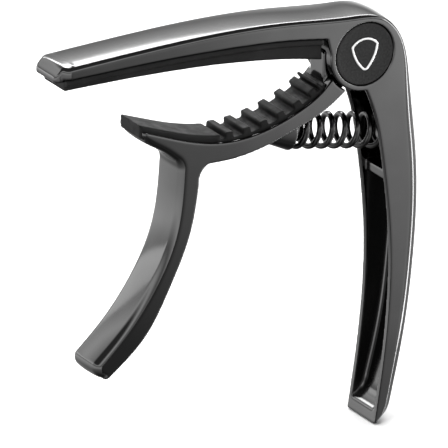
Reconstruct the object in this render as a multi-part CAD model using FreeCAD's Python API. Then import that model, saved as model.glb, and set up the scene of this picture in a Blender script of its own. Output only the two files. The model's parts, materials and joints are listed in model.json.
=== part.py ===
"""Spring-loaded trigger capo for a guitar: a frame casting (bar, ears and hollow handle) and a
lever casting (jaw and trigger) turn on one pivot pin, and a compression spring holds them shut.

Millimetres, +Z up, X along the bar, Y along the pivot pin. The geometry is worked out about the
pivot axis and each solid is then moved so that the origin is the middle of the clamping gap.
"""
import FreeCAD
import Part
import math
import os

V = FreeCAD.Vector

# Overall sizes. LEVER_INSET and the ear, wall and pad sizes below follow FRAME_WIDTH.
FRAME_WIDTH = 12.0          # frame casting, side to side
LEVER_INSET = 0.6           # jaw and trigger are this much narrower at each side
BAR_REACH = 72.5            # pivot axis to the end of the bar
HANDLE_DROP = 84.7          # pivot axis to the lowest point of the handle
JAW_REACH = 53.8            # pivot axis to the end of the jaw
TRIGGER_DROP = 62.0         # pivot axis to the lowest point of the trigger

# Frame casting
EAR_RADIUS = 8.3            # round ears about the pivot
EAR_THICK = 2.5             # each ear, side to side
EAR_MARGIN = 0.6            # the ears stay solid this far outside their radius
HANDLE_WALL = 1.2           # side walls of the hollow handle
BACK_WALL = 1.6             # back wall of the hollow handle
TIP_EDGE_ROUND = 0.7        # outer edge of the casting, at the end of the bar
HANDLE_EDGE_ROUND = 2.0     # outer edge of the casting, at the end of the handle
LIP_WIDTH = 9.4             # nose at the end of the bar
LIP_LENGTH = 1.6
LIP_ROOT = 1.0              # let into the end of the bar
LIP_HANG = 0.6              # below the bar's underside
LIP_FACE = 1.3              # height of the upright face
LIP_TOP_DROP = 0.5          # below the bar's top
HANDLE_END_X = 3.9          # lowest point of the handle
HANDLE_END_BULGE = (0.5, -0.3)
HOLLOW_END_INSET = (0.4, 3.0)
RAMP_END_INSET = (0.3, 2.6)
RAMP_BULGE = (0.5, -0.7)
RIB_THICK = 2.2             # web across the hollow handle, under the spring
RIB_CENTRE_DROP = 29.5
RIB_FRONT_X = 6.1

# String pad, slid into a groove under the bar
PAD_FLANGE_INSET = 0.2      # from each side of the bar
PAD_FLANGE_THICK = 1.4
PAD_FLANGE_STEP = 0.8       # flange beyond the playing face, at each side
PAD_BODY_THICK = 1.25
PAD_BODY_GAIN = [0, 0.35, 0.9, 1.65, 2.25]      # added to the face at even steps towards the pivot
PAD_KEY_WIDTH = 4.0
PAD_KEY_HEIGHT = 1.4
PAD_END_SETBACK = 0.6       # string pad ends this far short of the end of the bar
PAD_EAR_GAP = 1.5           # between the string pad and the ears
PAD_FIT = 0.1               # clearance of a rubber pad in its groove

# Neck pad, pressed into a trough on the jaw
RIM_WALL = 0.9              # side walls of the trough
TROUGH_DEPTH = 1.8
NECK_PAD_PROUD = 1.5        # smooth stretch, above the rim of the jaw
NECK_PAD_THINNING = [(1.0, 0.8), (0.9, 0.9), (0.74, 1.0)]     # shares of JAW_REACH and NECK_PAD_PROUD
VALLEY_PROUD = 0.5          # between the ribs, above the rim of the jaw
GRIP_RIB_PROUD = 1.9
GRIP_RIB_COUNT = 6
GRIP_RIB_PITCH = 4.4        # along the rim of the jaw
GRIP_RIB_THICK = 2.1
GRIP_RIB_TAPER = 0.85       # thickness at the crest, as a share of that at the root
GRIP_RIB_SETBACK = 3.2      # along the rim, from the inner end of the pad to the nearest rib
END_RIB_THICK = 0.8         # thin rib at the inner end of the pad
NECK_PAD_EAR_GAP = 0.5      # between the neck pad and the ears

# Pivot
KNUCKLE_RADIUS = 6.4
KNUCKLE_CLEARANCE = 0.5     # round the knuckle, inside the frame
JAW_EAR_CLEARANCE = 0.4     # between the ears and the hollow end of the jaw
WASHER_THICK = 0.5
WASHER_PLAY = 0.1           # between each washer and its ear
WASHER_RADIUS = 5.2
PIN_RADIUS = 2.0
PIN_HEAD_RADIUS = 3.4
PIN_HEAD_THICK = 0.7
PIN_RUNNING_FIT = 0.05      # radial, pin in bushing
BUSHING_WALL = 1.0
RING_THICK = 0.5            # push-on ring that keeps the pin
COUNTERBORE_DEPTH = 0.9
COUNTERBORE_FIT = 0.2

# Cap discs over the pin ends
RECESS_RADIUS = 7.0
RECESS_DEPTH = 0.9
CAP_FIT = 0.12
CAP_THICK = 0.55
CAP_EDGE_ROUND = 0.15
TAPE_THICK = 0.15
TAPE_MARGIN = 0.4
INLAY_THICK = 0.12
INLAY_HEIGHT = 7.4          # plectrum-shaped inlay on the front cap
INLAY_WIDTH = 6.6
INLAY_LINE = 0.55
INLAY_SHOULDER = 0.26       # height of its upper corners, as a share of INLAY_HEIGHT
INLAY_FLANK = (0.78, 0.33)  # bulge of its sides, as shares of half the width and of the height
INLAY_POINT = (0.22, 0.05)  # its rounded point, as the same shares
INLAY_POINT_WALL = 1.3      # line at the point, as a multiple of INLAY_LINE

# Spring and its seats
SPRING_SIDE_CLEARANCE = 0.7  # between the spring and the walls of the hollow
SPRING_WIRE = 1.3
SPRING_COILS = 8.0
SPRING_TILT = math.radians(9.9)
LEVER_SEAT_X = -15.4        # on the spring's axis
HANDLE_SEAT_X = 9.2
SPRING_AXIS_Z_AT_PIVOT = -18.9
SEAT_MARGIN = 0.3           # round the end of the spring
PEG_FIT = 0.35              # radial, peg in spring
PEG_LENGTH = 2.6
PEG_CHAMFER = 0.5
SPRING_RELIEF = 0.5         # hollow in the jaw round the first coils
SPRING_END_PLAY = 0.02      # between the last coil and its seat
BOSS_LENGTH = 5.5           # tapered boss under the jaw
BOSS_TAPER = 1.6            # its root is this much smaller in radius

STOP_GAP = 0.3              # lever shoulder to frame web with the jaws shut
SHOULDER_Z = 1.1
TONGUE_PAD_GAP = 0.1        # between the neck pad's end and the tongue
TONGUE_ROOT = 3.0           # tongue let into the jaw, at its underside
TONGUE_STEP = 2.0           # shoulder in front of the knuckle
TONGUE_OVERLAP = 1.0        # tongue let into the knuckle and under the pad

# Side profiles. The first number of each pair is a share of the length named beside it.
BAR_TOP = [(1.0, 9.8), (0.75, 10.7), (0.5, 11.2), (0.23, 10.4), (0.04, 9.1)]          # BAR_REACH
BAR_UNDER = [(1.0, 7.0), (0.69, 7.4), (0.41, 7.0), (0.23, 6.0), (0.125, 4.9)]         # BAR_REACH
SHOULDER = [(4.6, 7.8), (8.4, 4.4)]                                                 # millimetres
HANDLE_BACK = [(0.08, 11.6), (0.2, 12.9), (0.37, 13.8), (0.56, 12.9), (0.77, 10.4), (0.945, 7.0)]
HANDLE_MOUTH = [(0.997, 1.6), (0.81, 4.15), (0.53, 5.8), (0.27, 3.95), (0.17, 2.4)]   # HANDLE_DROP
JAW_TOP = [(1.0, -7.9), (0.9, -10.0), (0.74, -12.9), (0.6, -14.0), (0.43, -12.9),
           (0.3, -10.5), (0.17, -6.3), (0.139, -4.6)]                                # JAW_REACH
JAW_UNDER = [(0.7, -18.1), (0.61, -18.1), (0.43, -16.5), (0.3, -14.1), (0.17, -11.1), (0.082, -8.1)]
TRIGGER_FRONT = [(-44.7, 0.3), (-46.9, 0.53), (-52.9, 0.72), (-58.3, 0.83), (-65.5, 0.94)]
TRIGGER_REAR = [(-62.4, 1.0), (-53.1, 0.87), (-47.6, 0.725), (-42.0, 0.52), (-40.0, 0.36)]
TRIGGER_ROOT_X = 39.9       # distance from the pivot that the trigger's points are given for
TRIGGER_ROOT_SHARE = 0.742  # where along the jaw the trigger leaves it
JAW_END_HANG = 0.4          # end face of the jaw, below the floor of the trough
JAW_HEEL = [(2.4, -11.9), (5.4, -13.8), (8.0, -15.9)]       # from the end of the jaw towards the trigger
CORNER_BULGE = (-0.45, 0.75)
TRIGGER_TIP_BULGE = (-0.9, 0.7)
TRIGGER_BEND_BULGE = (0.35, 0.25)

HALF_FRAME = FRAME_WIDTH / 2
HALF_LEVER = HALF_FRAME - LEVER_INSET
HALF_GAP = HALF_FRAME - EAR_THICK
HALF_HOLLOW = HALF_FRAME - HANDLE_WALL
HALF_FLANGE = HALF_FRAME - PAD_FLANGE_INSET
HALF_PAD_BODY = HALF_FLANGE - PAD_FLANGE_STEP
HALF_NECK_PAD = HALF_LEVER - RIM_WALL
PAD_INNER_X = -(EAR_RADIUS + PAD_EAR_GAP)
NECK_PAD_INNER_X = -(EAR_RADIUS + NECK_PAD_EAR_GAP)
SPRING_OUTER_RADIUS = HALF_HOLLOW - SPRING_SIDE_CLEARANCE
SEAT_RADIUS = SPRING_OUTER_RADIUS + SEAT_MARGIN
PEG_RADIUS = SPRING_OUTER_RADIUS - SPRING_WIRE - PEG_FIT
HALF_TONGUE = HALF_GAP - WASHER_THICK - WASHER_PLAY
RECESS_FLOOR = HALF_FRAME - RECESS_DEPTH
PIN_SEAT = RECESS_FLOOR - COUNTERBORE_DEPTH
BUSHING_INNER = PIN_RADIUS + PIN_RUNNING_FIT
BUSHING_OUTER = BUSHING_INNER + BUSHING_WALL
CLAMP_X = -BAR_REACH / 2


def point(x, z):
    return V(x, 0, z)


def shifted(start, offset):
    return start + point(*offset)


def bulged(a, b, offset):
    """Half-way between two points, moved by an offset: the middle of an arc between them."""
    return shifted((a + b) * 0.5, offset)


def along_bar(profile):
    return [point(-share * BAR_REACH, z) for share, z in profile]


def down_handle(profile):
    return [point(x, -share * HANDLE_DROP) for share, x in profile]


def along_jaw(profile):
    return [point(-share * JAW_REACH, z) for share, z in profile]


def down_trigger(profile):
    shift = TRIGGER_ROOT_X - TRIGGER_ROOT_SHARE * JAW_REACH
    return [point(x + shift, -share * TRIGGER_DROP) for x, share in profile]


def curve(points):
    smooth = Part.BSplineCurve()
    smooth.interpolate(Points=points)
    return smooth


def edge(points):
    return curve(points).toShape()


def line(a, b):
    return Part.LineSegment(a, b).toShape()


def arc(a, middle, b):
    return Part.Arc(a, middle, b).toShape()


def on_circle(radius, degrees):
    turn = math.radians(degrees)
    return point(radius * math.cos(turn), radius * math.sin(turn))


def prism(edges, half_width):
    """Solid between two parallel side faces, from a closed outline in the XZ plane."""
    face = Part.Face(Part.Wire(edges))
    solid = face.extrude(V(0, 2 * half_width, 0))
    solid.translate(V(0, -half_width, 0))
    return solid


def polygon(points, half_width):
    closed = points + [points[0]]
    return prism([line(a, b) for a, b in zip(closed, closed[1:])], half_width)


def disc(radius, y_start, y_end):
    """Round solid on the pivot axis between two Y values."""
    return Part.makeCylinder(radius, abs(y_end - y_start), V(0, min(y_start, y_end), 0), V(0, 1, 0))


def parameter_at(smooth, x):
    """Where a side profile passes X, for a profile along which X changes steadily."""
    low, high = smooth.FirstParameter, smooth.LastParameter
    rising = smooth.value(high).x > smooth.value(low).x
    for _ in range(50):
        middle = (low + high) / 2
        if (smooth.value(middle).x < x) == rising:
            low = middle
        else:
            high = middle
    return low


def height_at(smooth, x):
    return smooth.value(parameter_at(smooth, x)).z


def on_curve(smooth, x, dz):
    return smooth.value(parameter_at(smooth, x)) + V(0, 0, dz)


def stepped(smooth, x, distance):
    """X at a distance along a side profile from where it passes another X."""
    return smooth.value(smooth.parameterAtDistance(distance, parameter_at(smooth, x))).x


def stretch(smooth, x_from, x_to, dz):
    """The stretch of a side profile between two X values, raised by dz."""
    ends = sorted([parameter_at(smooth, x_from), parameter_at(smooth, x_to)])
    piece = smooth.toShape(ends[0], ends[1])
    piece.translate(V(0, 0, dz))
    return piece


def band(smooth, x_from, x_to, low, high, half_width):
    """Solid between two raised copies of one side profile, cut square at both ends."""
    return prism([
        stretch(smooth, x_from, x_to, low),
        line(on_curve(smooth, x_to, low), on_curve(smooth, x_to, high)),
        stretch(smooth, x_from, x_to, high),
        line(on_curve(smooth, x_from, high), on_curve(smooth, x_from, low)),
    ], half_width)


# Spring axis, from the seat on the lever to the seat in the handle
SPRING_DIRECTION = V(math.cos(SPRING_TILT), 0, -math.sin(SPRING_TILT))


def on_spring_axis(x):
    return point(x, SPRING_AXIS_Z_AT_PIVOT - x * math.tan(SPRING_TILT))


LEVER_SEAT = on_spring_axis(LEVER_SEAT_X)
HANDLE_SEAT = on_spring_axis(HANDLE_SEAT_X)
SPRING_LENGTH = (HANDLE_SEAT - LEVER_SEAT).Length


def frame_outline():
    """Outer back curve, lowest end, mouth of the handle, left side of the ears, bar and its end."""
    outer_points = along_bar(BAR_TOP) + [point(x, z) for x, z in SHOULDER] + down_handle(HANDLE_BACK)
    mouth_points = down_handle(HANDLE_MOUTH)
    under_points = along_bar(BAR_UNDER)[::-1]
    ear_low = on_circle(EAR_RADIUS, -88)
    ear_left = on_circle(EAR_RADIUS, 172)
    heel = point(HANDLE_END_X, -HANDLE_DROP)
    return [
        edge(outer_points),
        arc(outer_points[-1], bulged(outer_points[-1], heel, HANDLE_END_BULGE), heel),
        line(heel, mouth_points[0]),
        edge(mouth_points + [ear_low]),
        arc(ear_low, on_circle(EAR_RADIUS, -138), ear_left),
        line(ear_left, under_points[0]),
        edge(under_points),
        line(under_points[-1], outer_points[0]),
    ]


def is_outer_edge(candidate):
    """The two long edges where the outer curve meets the side faces."""
    box = candidate.BoundBox
    return box.XLength > BAR_REACH and box.ZLength > HANDLE_DROP * 0.9 and box.YLength < 0.01


def make_frame_casting():
    body = prism(frame_outline(), HALF_FRAME)
    outer = [e for e in body.Edges if is_outer_edge(e)]
    body = body.makeFillet(TIP_EDGE_ROUND, HANDLE_EDGE_ROUND, outer)

    end_x = -BAR_REACH
    lip_low = BAR_UNDER[0][1] - LIP_HANG
    lip_high = BAR_TOP[0][1] - LIP_TOP_DROP
    lip = polygon([
        point(end_x + LIP_ROOT, lip_low),
        point(end_x - LIP_LENGTH, lip_low),
        point(end_x - LIP_LENGTH, lip_low + LIP_FACE),
        point(end_x, lip_high),
        point(end_x + LIP_ROOT, lip_high),
    ], LIP_WIDTH / 2)
    body = body.fuse(lip)

    # slot for the lever's knuckle and tongue, between the ears
    slot_radius = KNUCKLE_RADIUS + KNUCKLE_CLEARANCE
    web_z = SHOULDER_Z + STOP_GAP
    knuckle_slot = disc(slot_radius, -HALF_GAP, HALF_GAP)
    tongue_slot = polygon([
        point(-2 * EAR_RADIUS, web_z),
        point(0, web_z),
        point(slot_radius, 0),
        point(slot_radius, -1.5 * EAR_RADIUS),
        point(-2 * EAR_RADIUS, -1.5 * EAR_RADIUS),
    ], HALF_GAP)
    body = body.cut(knuckle_slot).cut(tongue_slot)

    # hollow of the handle, open towards the trigger
    back = [p - V(BACK_WALL, 0, 0) for p in down_handle(HANDLE_BACK)]
    back[-1] = shifted(back[-1], HOLLOW_END_INSET)
    ramp_end = shifted(down_handle(HANDLE_MOUTH)[0], RAMP_END_INSET)
    outside_x = -EAR_RADIUS
    hollow = prism([
        edge(back),
        arc(back[-1], bulged(back[-1], ramp_end, RAMP_BULGE), ramp_end),
        line(ramp_end, point(outside_x, ramp_end.z)),
        line(point(outside_x, ramp_end.z), point(outside_x, back[0].z)),
        line(point(outside_x, back[0].z), back[0]),
    ], HALF_HOLLOW)
    ears = disc(EAR_RADIUS + EAR_MARGIN, -HALF_FRAME, HALF_FRAME)
    body = body.cut(hollow.cut(ears))

    # web across the hollow, and the spring's seat with its peg
    back_x = HANDLE_BACK[2][1] - BACK_WALL / 2
    rib = polygon([
        point(RIB_FRONT_X, -RIB_CENTRE_DROP - RIB_THICK / 2),
        point(back_x, -RIB_CENTRE_DROP - RIB_THICK / 2),
        point(back_x, -RIB_CENTRE_DROP + RIB_THICK / 2),
        point(RIB_FRONT_X, -RIB_CENTRE_DROP + RIB_THICK / 2),
    ], HALF_HOLLOW + HANDLE_WALL / 2)
    seat_depth = HANDLE_BACK[1][1] - BACK_WALL / 2 - HANDLE_SEAT_X
    seat = Part.makeCylinder(SEAT_RADIUS, seat_depth, HANDLE_SEAT, SPRING_DIRECTION)
    body = body.fuse([rib, seat, peg(HANDLE_SEAT, SPRING_DIRECTION * -1)])

    # recesses for the cap discs, counterbores for the pin's ends, and the pin's bore
    for side in (-1, 1):
        body = body.cut(disc(RECESS_RADIUS, side * RECESS_FLOOR, side * (HALF_FRAME + 1)))
        bore = PIN_HEAD_RADIUS + COUNTERBORE_FIT
        body = body.cut(disc(bore, side * PIN_SEAT, side * HALF_FRAME))
    body = body.cut(disc(PIN_RADIUS, -HALF_FRAME, HALF_FRAME))

    # groove for the string pad's key
    body = body.cut(pad_key(PAD_FIT))
    return body.removeSplitter()


def peg(seat, direction):
    """Short round peg that the end of the spring fits over."""
    shank = PEG_LENGTH - PEG_CHAMFER
    straight = Part.makeCylinder(PEG_RADIUS, shank, seat, direction)
    nose_root = seat + direction * shank
    nose = Part.makeCone(PEG_RADIUS, PEG_RADIUS - PEG_CHAMFER, PEG_CHAMFER, nose_root, direction)
    return straight.fuse(nose)


def pad_key(clearance):
    """Rail on the string pad's back; with a clearance, the groove in the bar."""
    outer_x = -BAR_REACH + PAD_END_SETBACK - clearance
    inner_x = PAD_INNER_X + clearance
    sunk = -PAD_FLANGE_THICK / 2
    rise = PAD_KEY_HEIGHT + clearance
    under = curve(along_bar(BAR_UNDER))
    return band(under, outer_x, inner_x, sunk, rise, PAD_KEY_WIDTH / 2 + clearance)


def make_string_pad():
    """Rubber strip under the bar: key, full-width flange and a narrower playing face."""
    under = curve(along_bar(BAR_UNDER))
    outer_x = -BAR_REACH + PAD_END_SETBACK
    flange = band(under, outer_x, PAD_INNER_X, -PAD_FLANGE_THICK, 0, HALF_FLANGE)
    # the playing face is deeper towards the pivot
    stations = [outer_x, -0.75 * BAR_REACH, -0.5 * BAR_REACH, -0.3 * BAR_REACH, PAD_INNER_X]
    bottom = [
        on_curve(under, x, -PAD_FLANGE_THICK - PAD_BODY_THICK - gain)
        for x, gain in zip(stations, PAD_BODY_GAIN)
    ]
    face = prism([
        stretch(under, outer_x, PAD_INNER_X, -PAD_FLANGE_THICK / 2),
        line(on_curve(under, PAD_INNER_X, -PAD_FLANGE_THICK / 2), bottom[-1]),
        edge(bottom),
        line(bottom[0], on_curve(under, outer_x, -PAD_FLANGE_THICK / 2)),
    ], HALF_PAD_BODY)
    return flange.fuse([face, pad_key(0)]).removeSplitter()


def lever_outline():
    """Jaw top, hollow end round the ears, jaw underside, trigger and the end of the jaw."""
    top = along_jaw(JAW_TOP)
    under = along_jaw(JAW_UNDER)[::-1]
    rear = down_trigger(TRIGGER_REAR)[::-1]
    front = down_trigger(TRIGGER_FRONT)
    hollow_radius = EAR_RADIUS + JAW_EAR_CLEARANCE
    upper_turn = math.degrees(math.atan2(top[-1].z, top[-1].x))
    lower_turn = math.degrees(math.atan2(under[0].z, under[0].x))
    hollow_top = on_circle(hollow_radius, upper_turn)
    hollow_low = on_circle(hollow_radius, lower_turn)
    trigger_root = rear[0]
    end_low = point(-JAW_REACH, JAW_TOP[0][1] - TROUGH_DEPTH - JAW_END_HANG)
    heel = [end_low] + [point(x - JAW_REACH, z) for x, z in JAW_HEEL]
    tip_low = point((front[-1].x + rear[-1].x) / 2, -TRIGGER_DROP)
    return [
        edge(top[:-1] + [hollow_top]),
        arc(hollow_top, on_circle(hollow_radius, (upper_turn + lower_turn) / 2), hollow_low),
        edge([hollow_low] + under[1:]),
        arc(under[-1], bulged(under[-1], trigger_root, CORNER_BULGE), trigger_root),
        edge(rear),
        arc(rear[-1], shifted(tip_low, TRIGGER_TIP_BULGE), front[-1]),
        edge(front[::-1]),
        arc(front[0], bulged(front[0], heel[-1], TRIGGER_BEND_BULGE), heel[-1]),
        edge(heel[::-1]),
        line(end_low, top[0]),
    ]


def make_trigger_lever():
    body = prism(lever_outline(), HALF_LEVER)

    # trough for the neck pad, open at the end of the jaw
    rim = curve(along_jaw(JAW_TOP))
    trough_half = HALF_NECK_PAD + PAD_FIT / 2
    body = body.cut(band(rim, -JAW_REACH, NECK_PAD_INNER_X, -TROUGH_DEPTH, TROUGH_DEPTH, trough_half))

    # tongue and knuckle between the ears
    knuckle = disc(KNUCKLE_RADIUS, -HALF_TONGUE, HALF_TONGUE)
    inner_rim = height_at(rim, NECK_PAD_INNER_X)
    tongue_x = NECK_PAD_INNER_X + TONGUE_PAD_GAP
    shoulder_x = -math.sqrt(KNUCKLE_RADIUS ** 2 - SHOULDER_Z ** 2)
    lower_end = along_jaw(JAW_UNDER)[-1]
    tongue = polygon([
        point(shoulder_x + TONGUE_OVERLAP, SHOULDER_Z),
        point(shoulder_x - TONGUE_STEP, SHOULDER_Z),
        point(tongue_x, inner_rim + VALLEY_PROUD),
        point(tongue_x, inner_rim - TROUGH_DEPTH - TONGUE_OVERLAP),
        lower_end - V(TONGUE_ROOT, 0, 0),
        lower_end,
        on_circle(KNUCKLE_RADIUS, -100),
        point(0, 0),
    ], HALF_TONGUE)

    # round boss under the jaw that carries the spring
    boss_root = LEVER_SEAT - SPRING_DIRECTION * BOSS_LENGTH
    boss = Part.makeCone(SEAT_RADIUS - BOSS_TAPER, SEAT_RADIUS, BOSS_LENGTH, boss_root, SPRING_DIRECTION)
    above_jaw = band(rim, -JAW_REACH, NECK_PAD_INNER_X, -TROUGH_DEPTH, 5 * TROUGH_DEPTH, HALF_LEVER)
    boss = boss.cut(above_jaw)
    relief_radius = SPRING_OUTER_RADIUS + SPRING_RELIEF
    relief = Part.makeCylinder(relief_radius, SPRING_LENGTH, LEVER_SEAT, SPRING_DIRECTION)
    body = body.fuse([knuckle, tongue, boss]).cut(relief)
    body = body.fuse(peg(LEVER_SEAT, SPRING_DIRECTION))
    return body.cut(disc(BUSHING_OUTER, -HALF_TONGUE, HALF_TONGUE)).removeSplitter()


def cross_rib(rim, x, thick):
    """One rib of the neck pad, standing square to the rim of the jaw."""
    centre = on_curve(rim, x, 0)
    run = on_curve(rim, x + thick / 2, 0) - on_curve(rim, x - thick / 2, 0)
    run.normalize()
    crest = centre + V(-run.z, 0, run.x) * GRIP_RIB_PROUD
    side = run * (thick / 2)
    return polygon([
        centre - side,
        centre + side,
        crest + side * GRIP_RIB_TAPER,
        crest - side * GRIP_RIB_TAPER,
    ], HALF_NECK_PAD)


def make_neck_pad():
    """Rubber pad in the jaw's trough: smooth towards the end, cross ribs towards the pivot."""
    rim = curve(along_jaw(JAW_TOP))
    rib_distances = [GRIP_RIB_SETBACK + i * GRIP_RIB_PITCH for i in range(GRIP_RIB_COUNT)]
    rib_places = [stepped(rim, NECK_PAD_INNER_X, -distance) for distance in rib_distances]
    step_x = rib_places[-1] - GRIP_RIB_THICK

    # the smooth stretch thins out towards the end of the jaw
    smooth_top = [
        on_curve(rim, -along * JAW_REACH, share * NECK_PAD_PROUD)
        for along, share in NECK_PAD_THINNING
    ]
    smooth_top.append(on_curve(rim, step_x, NECK_PAD_PROUD))
    smooth_stretch = prism([
        edge(smooth_top),
        line(smooth_top[-1], on_curve(rim, step_x, -TROUGH_DEPTH)),
        stretch(rim, -JAW_REACH, step_x, -TROUGH_DEPTH),
        line(on_curve(rim, -JAW_REACH, -TROUGH_DEPTH), smooth_top[0]),
    ], HALF_NECK_PAD)
    ribbed_stretch = band(rim, step_x, NECK_PAD_INNER_X, -TROUGH_DEPTH, VALLEY_PROUD, HALF_NECK_PAD)
    body = smooth_stretch.fuse(ribbed_stretch)

    for x in rib_places:
        body = body.fuse(cross_rib(rim, x, GRIP_RIB_THICK))
    body = body.fuse(cross_rib(rim, NECK_PAD_INNER_X - END_RIB_THICK, END_RIB_THICK))
    return body.removeSplitter()


def make_spring():
    """Round-wire compression spring on its own axis, turned to lie between its two seats."""
    radius = SPRING_OUTER_RADIUS - SPRING_WIRE / 2
    length = SPRING_LENGTH - SPRING_WIRE - 2 * SPRING_END_PLAY
    pitch = length / SPRING_COILS
    helix = Part.makeLongHelix(pitch, length, radius, 0, False)
    wire_end = Part.Wire(Part.makeCircle(SPRING_WIRE / 2, V(radius, 0, 0), V(0, 1, 0)))
    coil = Part.Wire(helix).makePipeShell([wire_end], True, True)
    coil.translate(V(0, 0, SPRING_WIRE / 2 + SPRING_END_PLAY))
    coil.rotate(V(0, 0, 0), V(0, 1, 0), 90 + math.degrees(SPRING_TILT))
    coil.translate(LEVER_SEAT)
    return coil


def ring(outer, inner, y_start, y_end):
    return disc(outer, y_start, y_end).cut(disc(inner, y_start, y_end))


def make_pivot_pin():
    head = disc(PIN_HEAD_RADIUS, -PIN_SEAT, -PIN_SEAT - PIN_HEAD_THICK)
    shank = disc(PIN_RADIUS, -PIN_SEAT, PIN_SEAT + PIN_HEAD_THICK)
    return head.fuse(shank).removeSplitter()


def make_cap(side):
    radius = RECESS_RADIUS - CAP_FIT
    inner_face = side * (RECESS_FLOOR + TAPE_THICK)
    outer_face = side * (RECESS_FLOOR + TAPE_THICK + CAP_THICK)
    cap = disc(radius, inner_face, outer_face)
    rim = [e for e in cap.Edges if e.BoundBox.YLength < 0.01 and abs(e.BoundBox.YMin - outer_face) < 0.01]
    return cap.makeFillet(CAP_EDGE_ROUND, rim)


def make_tape(side):
    radius = RECESS_RADIUS - TAPE_MARGIN
    return disc(radius, side * RECESS_FLOOR, side * (RECESS_FLOOR + TAPE_THICK))


def plectrum(inset, y_start, y_end):
    """Rounded three-sided plate, point down."""
    half_width = INLAY_WIDTH / 2 - inset
    top = INLAY_HEIGHT / 2 - inset
    low = -INLAY_HEIGHT / 2 + inset * INLAY_POINT_WALL
    shoulder_z = INLAY_HEIGHT * INLAY_SHOULDER
    flank_x, flank_drop = INLAY_FLANK
    point_x, point_rise = INLAY_POINT
    left = point(-half_width, shoulder_z)
    right = point(half_width, shoulder_z)
    left_flank = point(-half_width * flank_x, shoulder_z - INLAY_HEIGHT * flank_drop)
    right_flank = point(half_width * flank_x, shoulder_z - INLAY_HEIGHT * flank_drop)
    left_low = point(-half_width * point_x, low + INLAY_HEIGHT * point_rise)
    right_low = point(half_width * point_x, low + INLAY_HEIGHT * point_rise)
    outline = Part.Wire([
        arc(left, point(0, top), right),
        arc(right, right_flank, right_low),
        arc(right_low, point(0, low), left_low),
        arc(left_low, left_flank, left),
    ])
    plate = Part.Face(outline).extrude(V(0, abs(y_end - y_start), 0))
    plate.translate(V(0, min(y_start, y_end), 0))
    return plate


def make_inlay():
    face = -(RECESS_FLOOR + TAPE_THICK + CAP_THICK)
    outside = plectrum(0, face - INLAY_THICK, face)
    inside = plectrum(INLAY_LINE, face - INLAY_THICK, face)
    return outside.cut(inside)


def clamp_middle():
    """Middle of the gap between the two pads, half-way along the bar."""
    bar_face = height_at(curve(along_bar(BAR_UNDER)), CLAMP_X) - PAD_FLANGE_THICK - PAD_BODY_THICK
    jaw_face = height_at(curve(along_jaw(JAW_TOP)), CLAMP_X) + NECK_PAD_PROUD
    return point(CLAMP_X, (bar_face + jaw_face) / 2)


def main():
    washer_face = HALF_TONGUE + WASHER_THICK
    parts = {
        "frame_casting": make_frame_casting(),
        "string_pad": make_string_pad(),
        "trigger_lever": make_trigger_lever(),
        "neck_pad": make_neck_pad(),
        "compression_spring": make_spring(),
        "pivot_pin": make_pivot_pin(),
        "pivot_bushing": ring(BUSHING_OUTER, BUSHING_INNER, -HALF_TONGUE, HALF_TONGUE),
        "front_thrust_washer": ring(WASHER_RADIUS, BUSHING_OUTER, -washer_face, -HALF_TONGUE),
        "rear_thrust_washer": ring(WASHER_RADIUS, BUSHING_OUTER, HALF_TONGUE, washer_face),
        "pin_retaining_ring": ring(PIN_HEAD_RADIUS, PIN_RADIUS, PIN_SEAT, PIN_SEAT + RING_THICK),
        "front_cap": make_cap(-1),
        "rear_cap": make_cap(1),
        "front_cap_tape": make_tape(-1),
        "rear_cap_tape": make_tape(1),
        "front_cap_inlay": make_inlay(),
    }
    os.makedirs("parts", exist_ok=True)
    origin = clamp_middle()
    for name, shape in parts.items():
        shape.translate(origin * -1)
        shape.exportStep("parts/" + name + ".step")
        box = shape.BoundBox
        print(name, len(shape.Solids), "solids", round(shape.Volume, 2), "mm3", "valid", shape.isValid(),
              [round(v, 2) for v in (box.XMin, box.YMin, box.ZMin, box.XMax, box.YMax, box.ZMax)])
    print("origin is", [round(v, 3) for v in origin], "from the pivot axis")
    print("spring length", round(SPRING_LENGTH, 3))


main()
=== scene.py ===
"""Looks for a spring-loaded trigger capo: polished black castings, rubber pads, coil spring and caps."""
import json
import math

import bpy
import numpy as np
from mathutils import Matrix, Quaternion, Vector


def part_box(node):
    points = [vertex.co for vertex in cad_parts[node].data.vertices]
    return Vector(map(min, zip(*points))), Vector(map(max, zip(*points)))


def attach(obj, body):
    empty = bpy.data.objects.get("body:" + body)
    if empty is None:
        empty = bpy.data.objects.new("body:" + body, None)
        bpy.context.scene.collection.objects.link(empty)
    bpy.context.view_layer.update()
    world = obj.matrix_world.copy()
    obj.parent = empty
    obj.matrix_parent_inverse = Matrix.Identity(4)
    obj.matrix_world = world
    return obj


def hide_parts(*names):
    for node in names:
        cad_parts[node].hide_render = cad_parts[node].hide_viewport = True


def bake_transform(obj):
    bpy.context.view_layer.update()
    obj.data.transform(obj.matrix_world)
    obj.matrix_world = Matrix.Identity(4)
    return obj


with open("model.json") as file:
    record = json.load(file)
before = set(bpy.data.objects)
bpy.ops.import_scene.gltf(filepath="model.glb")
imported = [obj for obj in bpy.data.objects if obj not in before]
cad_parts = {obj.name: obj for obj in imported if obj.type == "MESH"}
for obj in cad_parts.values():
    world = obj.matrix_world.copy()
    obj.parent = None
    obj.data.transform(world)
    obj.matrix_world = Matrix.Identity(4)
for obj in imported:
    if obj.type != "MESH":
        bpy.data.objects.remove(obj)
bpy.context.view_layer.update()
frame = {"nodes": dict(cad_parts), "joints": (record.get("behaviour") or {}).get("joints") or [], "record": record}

# ---------------------------------------------------------------- places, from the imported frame
# Working units here are millimetres about the pivot axis: X along the bar, Y along the pin, Z up.
MM = 0.001
HINGE = frame["joints"][0]
PIVOT = np.array(HINGE["pos_m"])


def box_mm(node):
    low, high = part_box(node)
    return (np.array(low) - PIVOT) / MM, (np.array(high) - PIVOT) / MM


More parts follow.
